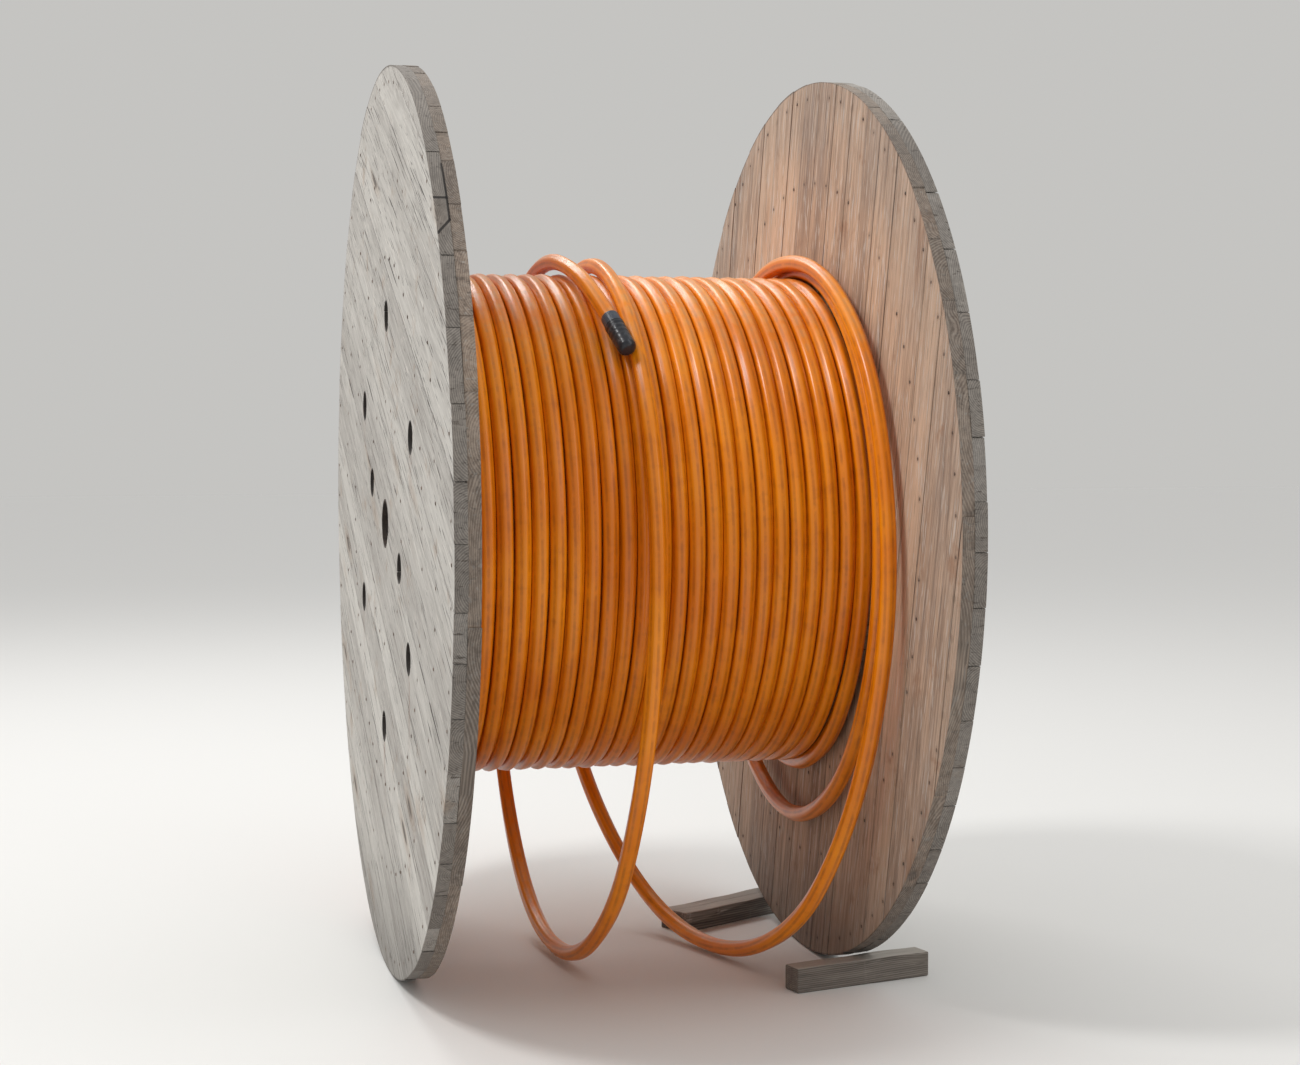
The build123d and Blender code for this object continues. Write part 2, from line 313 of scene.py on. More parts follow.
def duct_piece(name, path, ring_points):
    """A duct along a path: rings across it, hollow for a short way at both ends.

    A ring's radius is the duct's, less a dip that comes once for each small duct round it. The
    dips' angle grows with the length.
    """
    along = directions(path)
    across = np.array([1.0, 0, 0]) - along * along[:, :1]
    across /= np.linalg.norm(across, axis=1, keepdims=True)
    up = np.cross(along, across)
    row = np.concatenate([[0, 0, 0], np.arange(len(path)), [-1, -1, -1]])
    radius = np.full(len(row), DUCT_RADIUS)
    radius[[0, 1, -2, -1]] = DUCT_RADIUS - WALL
    radius[[2, -3]] = DUCT_RADIUS - 0.0006
    line = path[row]
    line[0] += along[0] * HOLLOW_END
    line[-1] -= along[-1] * HOLLOW_END
    travelled = np.concatenate([[0], np.cumsum(np.linalg.norm(np.diff(line, axis=0), axis=1))])
    angle, ring = circle(ring_points)
    dip = DIP * (1 + np.cos(SMALL_DUCTS * angle + TWIST * travelled[:, None]))
    profile = (radius[:, None] - dip)[..., None] * ring
    points = carry_along(line, across[row], up[row], profile)
    uv = np.stack(np.broadcast_arrays(angle / (2 * np.pi), travelled[:, None]), axis=-1)
    return tube_piece(name, points, uv)


slack = duct_piece("loose_duct", slack_line, 36)
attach(slack, "root")
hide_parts("slack_duct")
print("loose duct:", len(slack.data.polygons), "faces")

# %% [markdown]
# ## The end cap
#
# A black cap is shrunk over the duct's free end to keep water out. It is a turned shape: a profile
# spun round the duct's line. A thin sleeve lies on the duct and wrinkles where it shrank. Then
# come the thick rolled edge, a few shallow folds and the rounded closed end.

# %% The end cap


def turned_piece(name, base, direction, profile, ring_points):
    """A profile of (along, radius) rows, spun round a line from base in that direction."""
    across = np.array([1.0, 0, 0]) - direction * direction[0]
    across /= np.linalg.norm(across)
    up = np.cross(direction, across)
    profile = np.array(profile)
    path = base + direction * profile[:, :1]
    angle, ring = circle(ring_points)
    points = carry_along(path, across[None], up[None], profile[:, 1, None, None] * ring)
    uv = np.stack(np.broadcast_arrays(angle / (2 * np.pi), profile[:, :1]), axis=-1)
    return tube_piece(name, points, uv)


SLEEVE = 0.034
CAP_OVERLAP = 0.08

cap_place = slack_corners()[-1]
cap_direction = cap_place - slack_corners()[-2]
cap_direction /= np.linalg.norm(cap_direction)
crease = np.linspace(0, 1, 41)
wrinkles = np.abs(np.sin(np.pi * (6 * crease + crease**2)))
sleeve_rows = np.c_[SLEEVE * (crease - 1), 0.0236 + 0.0006 * crease + 0.0006 * wrinkles]
fold = np.linspace(0, 1, 49)
fold_radius = 0.0257 + 0.0007 * np.sin(2 * np.pi * 5 * fold) * (1 - fold) - 0.0006 * fold
fold_rows = np.c_[0.006 + 0.086 * fold, fold_radius]
crown = np.linspace(0, np.pi / 2, 8)[1:]
crown_rows = np.c_[0.092 + 0.0125 * np.sin(crown), 0.0121 + 0.013 * np.cos(crown)]
edge_rows = [(0.0005, 0.0258), (0.0015, 0.0264), (0.004, 0.0264), (0.0055, 0.0259)]
cap_rows = np.vstack([
    [(-SLEEVE, 0.0220)], sleeve_rows, edge_rows, fold_rows, crown_rows, [(0.1048, 0.004)]])
cap_base = cap_place - cap_direction * CAP_OVERLAP
cap = turned_piece("shrink_cap", cap_base, cap_direction, cap_rows, 40)
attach(cap, "root")
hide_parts("end_cap")
print("cap:", len(cap.data.polygons), "faces")

# %% [markdown]
# ## The winding
#
# The rest of the duct is still tight on the core, turn against turn, in one layer. The CAD keeps
# it as one turned ring with a ridge for each turn. Here it becomes what it is: one duct wound
# round and round. Its line is a helix: the angle falls steadily while the place along the axis
# grows by one pitch a turn. Two slow waves push neighbouring turns a little sideways together, and
# a third lifts them by up to 2 mm, as real turns never lie perfectly straight.

# %% The wound duct
WOUND_TURNS = 23.5
STEPS_A_TURN = 80
helix_turn = np.linspace(0, WOUND_TURNS, int(WOUND_TURNS * STEPS_A_TURN) + 1)
helix_angle = SLACK_ROUTE[0, 1] + 360 * (WOUND_TURNS - helix_turn)
helix_start = slack_corners()[0, 0] - WOUND_TURNS * TURN_PITCH
steady = np.sin(np.pi * helix_turn / WOUND_TURNS)
turned = np.radians(helix_angle)
sway = 0.003 * np.sin(turned + 0.12 * helix_turn) + 0.0016 * np.sin(2 * turned - 0.2 * helix_turn)
lift = 0.0009 * (1 + np.sin(3 * turned + 1.3 * helix_turn))
helix_along = helix_start + helix_turn * TURN_PITCH + sway * steady
helix_line = about_axis(helix_along, helix_angle, LAYER_RADIUS + lift * steady)
wound = duct_piece("wound_duct", helix_line, 30)
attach(wound, "root")
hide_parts("winding")
print("wound duct:", len(wound.data.polygons), "faces")

# %% [markdown]
# ## The boards
#
# Each flange is two layers of boards, nailed across each other and cut round. The CAD boards have
# the right outline, holes and gaps but knife-sharp edges. So each layer is copied, and the copy's
# flat faces are joined into one face each, which leaves clean edges to round. The bevel is a
# modifier: it rounds only what turns by more than 50 degrees.

# %% A clean copy with rounded edges


def clean_copy(name, source):
    """A copy of a CAD node, with doubles merged and flat faces joined."""
    whole = bmesh.new()
    whole.from_mesh(nodes[source].data)
    bmesh.ops.remove_doubles(whole, verts=whole.verts, dist=1e-5)
    bmesh.ops.dissolve_limit(
        whole, angle_limit=math.radians(0.5), verts=whole.verts, edges=whole.edges)
    mesh = bpy.data.meshes.new(name)
    whole.to_mesh(mesh)
    whole.free()
    piece = bpy.data.objects.new(name, mesh)
    bpy.context.scene.collection.objects.link(piece)
    return piece


def round_edges(piece, width, segments=2):
    """A bevel on the piece's sharp edges, and smooth shading over what is left."""
    bevel = piece.modifiers.new("rounded edges", "BEVEL")
    bevel.width = width
    bevel.segments = segments
    bevel.limit_method = "ANGLE"
    bevel.angle_limit = math.radians(50)
    bevel.use_clamp_overlap = True
    piece.data.polygons.foreach_set("use_smooth", np.ones(len(piece.data.polygons), bool))
    piece.data.set_sharp_from_angle(angle=math.radians(35))


print("faces of the left outer boards:", len(nodes["flange_left_outer_boards"].data.polygons))

# %% [markdown]
# Beside the middle hole the photograph shows two more, one on each side, for the pin that drives
# the drum when it is wound. They aren't in the CAD model, so they are cut into the copies here: a
# Boolean modifier takes two long cylinders away, and the mesh that it gives replaces the copy's.

# %% Driving-pin holes
PIN_HOLES = about_axis(0, np.array([160, 340]), 0.31)


def drill(piece, places, radius):
    """Cuts round holes along the drum's axis through the piece, one at each place."""
    angle, ring = circle(40)
    ring = radius * np.c_[0 * angle, ring]
    ends = np.array([(-1.0, 0, 0), (1.0, 0, 0)])[:, None]
    bits = tube_copies("drill bits", places[:, None, None] + ends + ring)
    cut = piece.modifiers.new("holes", "BOOLEAN")
    cut.operation = "DIFFERENCE"
    cut.solver = "EXACT"
    cut.object = bits
    drilled = piece.evaluated_get(bpy.context.evaluated_depsgraph_get())
    whole, bit_mesh = piece.data, bits.data
    piece.data = bpy.data.meshes.new_from_object(drilled)
    piece.modifiers.clear()
    bpy.data.objects.remove(bits)
    for mesh in (whole, bit_mesh):
        bpy.data.meshes.remove(mesh)


print("pin holes at", PIN_HOLES.round(3).tolist())

# %% [markdown]
# Wood grows in its own three numbers: a place along the grain, across it and into the board. Each
# point of a board keeps them as an attribute, moved by a random amount for each board, so the
# grain runs the length of each board, turns into end grain at the rim, and differs from board to
# board. A second attribute is the place seen from the middle of the tree, which gives the rings.

# %% Grain numbers


def mesh_points(piece):
    """The piece's points as rows of three numbers."""
    points = np.empty(len(piece.data.vertices) * 3)
    piece.data.vertices.foreach_get("co", points)
    return points.reshape(-1, 3)


def keep_numbers(piece, name, kind, values):
    """Stores one number or three for each of the piece's points, for its material to read."""
    field = "value" if kind == "FLOAT" else "vector"
    numbers = np.asarray(values, np.float32).reshape(-1)
    piece.data.attributes.new(name, kind, "POINT").data.foreach_set(field, numbers)


def keep_grain(piece, along, across, depth, heart, seed, tone, share):
    """Stores where each point lies in its own board, and how far it is from the tree's heart."""
    keep_numbers(piece, "grain", "FLOAT_VECTOR", np.c_[along, across, depth] + seed)
    keep_numbers(piece, "heart", "FLOAT_VECTOR", np.c_[0 * along, across, depth] - heart)
    keep_numbers(piece, "tone", "FLOAT", tone)
    keep_numbers(piece, "share", "FLOAT", share)


print("points of the left outer boards:", len(mesh_points(nodes["flange_left_outer_boards"])))

# %% [markdown]
# A point's board follows from its place across the grain and the list of the boards' edges. Old
# boards are never level: each one is moved in or out by up to a millimetre, and its ends are up
# to 4 mm short of the flange's edge.

# %% The four layers of boards
BOARDS = 2 * (len(BOARD_EDGES) - 1)
USUAL_BOARD = 0.13


def board_layer(name, node, slope):
    """A layer of boards that run at that slope, in degrees from +Y towards +Z."""
    piece = clean_copy(name, node)
    drill(piece, PIN_HOLES, PIN_HOLE_RADIUS)
    points = mesh_points(piece)
    turned = math.radians(slope)
    along = points[:, 1] * math.cos(turned) + points[:, 2] * math.sin(turned)
    across = points[:, 2] * math.cos(turned) - points[:, 1] * math.sin(turned)
    number = np.digitize(np.abs(across), BOARD_EDGES[1:-1])
    board = number + np.where(across < 0, BOARDS // 2, 0)
    share = (np.abs(across) - np.take(BOARD_EDGES, number)) / np.diff(BOARD_EDGES)[number]
    depth = points[:, 0] - points[:, 0].mean()
    heart_across = chance.uniform(-0.04, 0.04, BOARDS)
    heart_depth = chance.uniform(0.03, 0.1, BOARDS)
    heart = np.c_[np.zeros(BOARDS), heart_across, heart_depth]
    seed = chance.uniform(-40, 40, (BOARDS, 3))
    tone = chance.uniform(0, 1, BOARDS)
    keep_grain(piece, along, (share - 0.5) * USUAL_BOARD, depth, heart[board],
               seed[board], tone[board], share)
    on_rim = np.hypot(points[:, 1], points[:, 2]) > FLANGE_RADIUS - 0.002
    trim = chance.uniform(0, 0.004, BOARDS)[board] * on_rim
    points[:, 1:] *= 1 - trim[:, None] / FLANGE_RADIUS
    points[:, 0] += chance.uniform(-0.0010, 0.0010, BOARDS)[board]
    piece.data.vertices.foreach_set("co", points.reshape(-1))
    round_edges(piece, 0.0022)
    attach(piece, "root")
    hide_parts(node)
    return piece


layers = {}
for side, slope in (("left", LEFT_SLOPE), ("right", RIGHT_SLOPE)):
    for place, run in (("outer", slope), ("inner", slope - 90)):
        name = f"{side}_{place}_boards"
        layers[side, place] = board_layer(name, f"flange_{name}", run)
for (side, place), piece in layers.items():
    print(piece.name, len(piece.data.polygons), "faces")

# %% [markdown]
# The two chock timbers are treated in the same way: a copy with a place along the grain for each
# point. A timber's own direction is the one in which its points spread most. Old timbers are never
# straight, so the copy is divided and two slow waves along it draw its sides in by up to 3 mm.
# Its bottom stays flat on the ground.

# %% Chocks


def divide(piece, cuts):
    """Cuts every edge of the piece into equal parts and joins the cuts across its faces."""
    whole = bmesh.new()
    whole.from_mesh(piece.data)
    bmesh.ops.subdivide_edges(whole, edges=whole.edges, cuts=cuts, use_grid_fill=True)
    whole.to_mesh(piece.data)
    whole.free()


timbers = []
for node in ("chock_front", "chock_rear"):
    timber = clean_copy(node.replace("chock", "timber"), node)
    divide(timber, 12)
    points = mesh_points(timber)
    middle = points.mean(axis=0)
    _, spread = np.linalg.eigh(np.cov((points - middle).T))
    lengthwise = spread[:, -1]
    sideways = np.cross((0, 0, 1), lengthwise)
    along = (points - middle) @ lengthwise
    across = (points - middle) @ sideways
    even = np.full(len(points), 0.5)
    keep_grain(timber, along, across, points[:, 2] - middle[2], np.array([0, 0.02, -0.05]),
               chance.uniform(-40, 40, 3), even, even)
    waist = 0.012 * (2 + np.sin(along * 13) + np.sin(along * 31 + 1))
    points -= (across * waist)[:, None] * sideways
    points[:, 2] -= (points[:, 2] - points[:, 2].min()) * waist
    timber.data.vertices.foreach_set("co", points.reshape(-1))
    round_edges(timber, 0.005, 3)
    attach(timber, "root")
    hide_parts(node)
    timbers.append(timber)
    print(timber.name, "runs along", lengthwise.round(2))

# %% [markdown]
# ## Rods, nuts and nails
#
# Six rods pull the flanges together. Their ends stand in pockets of the outer boards, each with a
# washer and a nut. The CAD leaves out threads and chamfers. A thread is a helix: the rod's radius
# falls and rises once for each pitch along it, and that wave is turned by one pitch for each turn
# round the rod. A hexagon nut is a hexagon that a cone has trimmed at both ends, so its radius is
# the smaller one of the hexagon's and the cone's.

# %% Rods and nuts
THREAD_PITCH = 0.0025
THREAD_FOOT = 0.0086
THREAD_DEPTH = 0.0014
NUT_HALF_WIDTH = 0.015
NUT_BORE = 0.0098
round_angles, _ = circle(36)
rod_places = about_axis(0, ROD_ANGLES, ROD_RADIUS)


def along_drum(side, places, heights, radius, angles):
    """Grids of points round lines along the drum's axis, one for each place.

    heights and radius are grids too: how far each point is from its place towards that side, and
    how far from its line.
    """
    column = np.cos(angles) * radius
    row = side * np.sin(angles) * radius
    grid = np.stack(np.broadcast_arrays(side * heights, column, row), axis=-1)
    return places[:, None, None] + grid


rod_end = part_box("tie_rod_1")[1][0]
thread = np.linspace(-0.022, -0.0012, 60)
wave = np.abs((thread[:, None] / THREAD_PITCH - round_angles / (2 * np.pi)) % 1 - 0.5) * 2
half_heights = np.concatenate([[0.0], rod_end + thread, [rod_end]])[:, None]
half_radius = np.vstack([
    0 * round_angles + 0.01, THREAD_FOOT + THREAD_DEPTH * wave, 0 * round_angles + 0.0082])
heights = np.vstack([-half_heights[::-1], half_heights[1:]])
radius = np.vstack([half_radius[::-1], half_radius[1:]])
rods = tube_copies("tie_rods", along_drum(1, rod_places, heights, radius, round_angles))
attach(rods, "root")
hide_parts(*(f"tie_rod_{number}" for number in range(1, 7)))

nut_low, nut_high = (corner[0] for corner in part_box("nut_right_1"))
tall = nut_high - nut_low
chamfer = np.array([0, 0, 0.0012, 0.0024, 0.0036])
nut_rows = np.concatenate([chamfer, tall - chamfer[::-1]])
hexagon = NUT_HALF_WIDTH / np.cos((round_angles + np.pi / 6) % (np.pi / 3) - np.pi / 6)
cone = 0.0143 + np.minimum(nut_rows, tall - nut_rows)[:, None] * 1.7
nut_radius = np.minimum(hexagon, cone)
nut_radius[[0, -1]] = NUT_BORE
nut_heights = nut_low + nut_rows[:, None]
nuts = tube_copies("nuts", np.concatenate([
    along_drum(side, rod_places, nut_heights, nut_radius, round_angles) for side in (-1, 1)]))
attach(nuts, "root")
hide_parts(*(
    f"nut_{side}_{number}" for side in ("left", "right") for number in range(1, 7)))
print("rods and nuts:", len(rods.data.polygons), len(nuts.data.polygons), "faces")

# %% [markdown]
# Nails hold the two layers of a flange together. They stand in rings, each nail a share of a turn
# from the next. Only the low round heads show. The same rings return in the wood's material, where
# each nail has a small rust stain.

# %% Nail heads
NAIL_RINGS = ((1.205, 76, 0.1), (0.965, 60, 0.4), (0.735, 46, 0.7), (0.34, 20, 0.2))


def nail_places():
    """Y and Z of every nail of a flange, as points with no place along the axis."""
    rings = []
    for distance, count, phase in NAIL_RINGS:
        angles = (np.arange(count) + 0.5 + phase) * 360 / count
        rings.append(about_axis(0, angles, distance))
    return np.concatenate(rings)


def clear_of_joints(places, slope, room):
    """Whether each place is at least that far from the joints between boards at that slope."""
    turned = math.radians(slope)
    across = np.abs(places[:, 2] * math.cos(turned) - places[:, 1] * math.sin(turned))
    return np.abs(across[:, None] - np.array(BOARD_EDGES)).min(axis=1) > room


def clear_of_holes(places):
    """Whether each place is at least 15 mm from the rims of both driving-pin holes."""
    away = np.linalg.norm(places[:, None] - PIN_HOLES, axis=2).min(axis=1)
    return away > PIN_HOLE_RADIUS + 0.015


head_angles, _ = circle(10)
head_rows = np.array([-0.003, 0.0004, 0.0010])[:, None]
head_radius = np.array([0.0046, 0.0046, 0.0030])[:, None] * np.ones(10)
heads = []
for slope, side in ((LEFT_SLOPE, -1), (RIGHT_SLOPE, 1)):
    for outward, face, run in ((1, OUTER_FACE, slope), (-1, HALF_WIDTH, slope - 90)):
        places = nail_places()
        places = places[clear_of_holes(places)]
        places = places[clear_of_joints(places, run, 0.012)]
        places[:, 0] = side * face
        heads.append(along_drum(side * outward, places, head_rows, head_radius, head_angles))
nails = tube_copies("nail_heads", np.concatenate(heads))
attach(nails, "root")
print("nail heads:", sum(len(group) for group in heads))

# %% [markdown]
# ## Materials
#
# A formula in nodes soon becomes hard to read. A small class helps: it stands for one value on its
# way through the material, and adding or multiplying it adds the Math node.

# %% A value that can be reckoned with


class Value:
    """A node's output. Arithmetic on it adds Math nodes to its finish."""

    def __init__(self, finish, socket):
        self.finish = finish
        self.socket = socket

    def __add__(self, other):
        return self.finish.reckon("ADD", self, other)

    def __sub__(self, other):
        return self.finish.reckon("SUBTRACT", self, other)

    def __rsub__(self, other):
        return self.finish.reckon("SUBTRACT", other, self)

    def __mul__(self, other):
        return self.finish.reckon("MULTIPLY", self, other)


print("+, - and * on a value add one Math node each")

# %% [markdown]
# A second class is the material under work. Its method add makes any node, and its short methods
# are the steps that come back in every material here: noise, a smooth rise between two limits, a
# blend of two colours, a bump. The surface shader's sockets are filled last.

# %% A finish


class Finish:
    """A material that is being put together."""

    def __init__(self, name):
        self.material = bpy.data.materials.new(name)
        self.material.use_nodes = True
        self.nodes = self.material.node_tree.nodes
        self.links = self.material.node_tree.links
        self.surface = self.nodes["Principled BSDF"]

    def plug(self, socket, value):
        """Links a value to a socket, or sets the socket to a plain number or colour."""
        if isinstance(value, Value):
            self.links.new(value.socket, socket)
        elif isinstance(value, tuple) and len(socket.default_value) == 4:
            socket.default_value = (*value, 1)
        else:
            socket.default_value = value

    def add(self, kind, settings=None, sockets=None, output=0):
        """Adds a node: its settings first, then the values or links of its sockets."""
        node = self.nodes.new(kind)
        for name, setting in (settings or {}).items():
            setattr(node, name, setting)
        for key, value in (sockets or {}).items():
            self.plug(node.inputs[key], value)
        return Value(self, node.outputs[output])

    def cover(self, **sockets):
        """Plugs values into the surface shader's sockets."""
        for name, value in sockets.items():
            self.plug(self.surface.inputs[name.replace("_", " ")], value)

    def reckon(self, operation, *numbers):
        return self.add("ShaderNodeMath", {"operation": operation}, dict(enumerate(numbers)))

    def attribute(self, name, output):
        return self.add("ShaderNodeAttribute", {"attribute_name": name}, output=output)

    def object_place(self):
        return self.add("ShaderNodeTexCoord", output="Object")

    def facing_up(self):
        """1 where the surface faces the sky, 0 where it is upright, -1 where it faces down."""
        return self.part(self.add("ShaderNodeNewGeometry", output="Normal"), "Z")

    def scaled(self, vector, scale):
        return self.vector("MULTIPLY", vector, scale)

    def vector(self, operation, first, second):
        return self.add("ShaderNodeVectorMath", {"operation": operation}, {0: first, 1: second})

    def length(self, vector):
        return self.add("ShaderNodeVectorMath", {"operation": "LENGTH"}, {0: vector}, "Value")

    def part(self, vector, axis):
        return self.add("ShaderNodeSeparateXYZ", sockets={0: vector}, output=axis)

    def noise(self, vector, scale, detail=3, roughness=0.5):
        """Noise of that many lumps a metre, more of them along an axis where scale has three."""
        if isinstance(scale, tuple):
            vector, scale = self.scaled(vector, scale), 1.0
        sockets = {"Vector": vector, "Scale": scale, "Detail": detail, "Roughness": roughness}
        return self.add("ShaderNodeTexNoise", sockets=sockets)

    def between(self, value, low, high):
        """0 below low, 1 above high, and a smooth rise between them."""
        settings = {"interpolation_type": "SMOOTHSTEP"}
        return self.add("ShaderNodeMapRange", settings, {0: value, 1: low, 2: high})

    def blend(self, amount, first, second):
        settings = {"data_type": "RGBA"}
        return self.add("ShaderNodeMix", settings, {0: amount, 6: first, 7: second}, output=2)

    def bump(self, height, strength, distance):
        sockets = {"Height": height, "Strength": strength, "Distance": distance}
        return self.add("ShaderNodeBump", sockets=sockets)


print("a finish can:", ", ".join(name for name in vars(Finish) if not name.startswith("_")))

# %% [markdown]
# Colours are written as they look on the screen, from 0 to 255, because that is how they are read
# off a picture. The shader reckons with the amount of light, which is far less for a dark colour
# than its number on the screen suggests, so each colour is turned into that first.

# %% Colours


def shown(red, green, blue):
    """A colour as it looks on the screen, 0 to 255, turned into the shader's linear numbers."""
    parts = np.array([red, green, blue]) / 255
    dim, bright = parts / 12.92, ((parts + 0.055) / 1.055) ** 2.4
    return tuple(np.where(parts <= 0.04045, dim, bright).tolist())


print("a middle grey is", round(shown(128, 128, 128)[0], 3), "in the shader")

# %% [markdown]
# ### Weathered wood
#
# Outdoor softwood turns grey in the rain and stays brown where it is sheltered. What the eye reads
# as wood is a stack of patterns that all run with the grain. Growth rings are rings round the
# tree's heart, so a ring's number is the distance from the heart divided by the ring's width. On a
# board's face they show as long flames, and on its end as arcs, from the same formula. Streaks and
# fibres are noise that is stretched along the grain, a knot is a small cell that pushes the rings
# aside, and a check is the thin black crack that drying leaves.

# %% Patterns in wood
RING_WIDTH = 0.0052


def growth_rings(wood, place, heart, pushed):
    """The sine of the distance from the tree's heart, one wave for each ring, from 0 to 1."""
    bent = wood.noise(place, (0.9, 5.0, 5.0), 2) * 0.05
    distance = wood.length(heart) + bent + pushed
    return wood.reckon("SINE", distance * (2 * math.pi / RING_WIDTH)) * 0.5 + 0.5


def knot_cells(wood, place, knotty):
    """The distance from the nearest knot, and 1 in that share of the cells, which have one."""
    sockets = {"Vector": wood.scaled(place, (1.9, 8.0, 8.0)), "Scale": 1.0}
    distance = wood.add("ShaderNodeTexVoronoi", sockets=sockets, output="Distance")
    drawn = wood.add("ShaderNodeTexVoronoi", sockets=sockets, output="Color")
    return distance, wood.between(wood.part(drawn, "X"), 1 - knotty, 1.02 - knotty)


print("growth rings in a board's thickness:", round(BOARD_LAYER / RING_WIDTH, 1))

# %% [markdown]
# Iron stains wood. Each nail has a small brown ring, and rust has run down from the rods' pockets.
# The walls of the pockets and the pin holes are darkened as painted shade. All of them are worked
# out from the places that the nails, rods and holes were made from, so a stain can't miss its nail.

# %% Stains round nails and rods


def nail_stains(wood, where):
    """1 at each nail and 0 beyond 14 mm, from the distances across its ring and along it.

    Along a ring, the share of a turn times the number of nails goes up by 1 from nail to nail.
    Folded back and forth, it is the distance from the nearest nail as a share of their spacing.
    """
    outward = wood.length(wood.scaled(where, (0, 1, 1)))
    angle = wood.reckon("ARCTAN2", wood.part(where, "Z"), wood.part(where, "Y") * -1)
    turn = angle * (0.5 / math.pi)
    stains = 0
    for distance, count, phase in NAIL_RINGS:
        spacing = 2 * math.pi * distance / count
        beside = wood.reckon("PINGPONG", turn * count - (phase + 0.5), 0.5) * spacing
        above = outward - distance
        spot = 1 - wood.between(beside * beside + above * above, 0.00002, 0.0002)
        stains = spot + stains
    return stains


def shaded_hollow_walls(wood, where):
    """1 on the walls of the rods' pockets and the pin holes, which are darkened as painted shade."""
    walls = 0
    for places, radius in ((rod_places, POCKET_RADIUS), (PIN_HOLES, PIN_HOLE_RADIUS)):
        for _, y, z in places:
            beside = wood.part(where, "Y") - y
            above = wood.part(where, "Z") - z
            square = beside * beside + above * above
            walls = 1 - wood.between(square, (radius + 0.0005) ** 2, (radius + 0.003) ** 2) + walls
    return walls


def rod_stains(wood, where):
    """Rust that has run down from each rod's pocket: a narrow band below it that fades."""
    stains = 0
    for _, y, z in rod_places:
        beside = wood.reckon("ABSOLUTE", wood.part(where, "Y") - y)
        below = z - wood.part(where, "Z")
        band = 1 - wood.between(beside, 0.006, 0.034)
        starts = wood.between(below, 0.02, 0.05)
        fades = 1 - wood.between(below, 0.06, 0.30)
        stains = band * starts * fades + stains
    return stains


print("rods and holes with stains:", len(rod_places) + len(PIN_HOLES))

# %% [markdown]
# The left flange's rim has come open high on its near side: one joint is wide, a crack runs across
# the next board's end, and a gap joins the two along the line between the layers. They are three
# straight lines in X and Z, and a point is dark where the nearest one is within a few millimetres.

# %% A split in the rim
RIM_SPLITS = (
    ((-OUTER_FACE, 0.811), (-LAYER_JOINT, 0.811)),
    ((-OUTER_FACE, 0.722), (-LAYER_JOINT, 0.755)),
    ((-LAYER_JOINT, 0.755), (-LAYER_JOINT, 0.898)),
)


def rim_splits(wood, where):
    """1 on the splits, and only on the rim's near side.

    From a line's start, the foot is the share of its run that lies nearest, kept from 0 to 1, and
    the distance is the length from that foot.
    """
    flat = wood.scaled(where, (1, 0, 1))
    splits = 0
    for start, end in RIM_SPLITS:
        run = np.array([end[0] - start[0], 0, end[1] - start[1]])
        offset = wood.vector("SUBTRACT", flat, (start[0], 0, start[1]))
        share = wood.add("ShaderNodeVectorMath", {"operation": "DOT_PRODUCT"},
                         {0: offset, 1: tuple(run / (run @ run))}, "Value")
        share = wood.reckon("MINIMUM", wood.reckon("MAXIMUM", share, 0), 1)
        foot = wood.add("ShaderNodeVectorMath", {"operation": "SCALE"}, {0: tuple(run), 3: share})
        distance = wood.length(wood.vector("SUBTRACT", offset, foot))
        splits = 1 - wood.between(distance, 0.0018, 0.0042) + splits
    near_side = 1 - wood.between(wood.part(where, "Y"), -0.2, -0.1)
    return splits * near_side


print("splits in the rim:", len(RIM_SPLITS))

# %% [markdown]
# The finish stacks those patterns. The colours are those of the photograph, and what differs from
# wood to wood is passed in: how soft the streaks are, how many checks, knots and pale flecks there
# are, how dark the joints, and whether rust has run from the rods. At the rim the boards' ends are
# grey-brown, and near the ground the boards are darker.

# %% Weathered wood


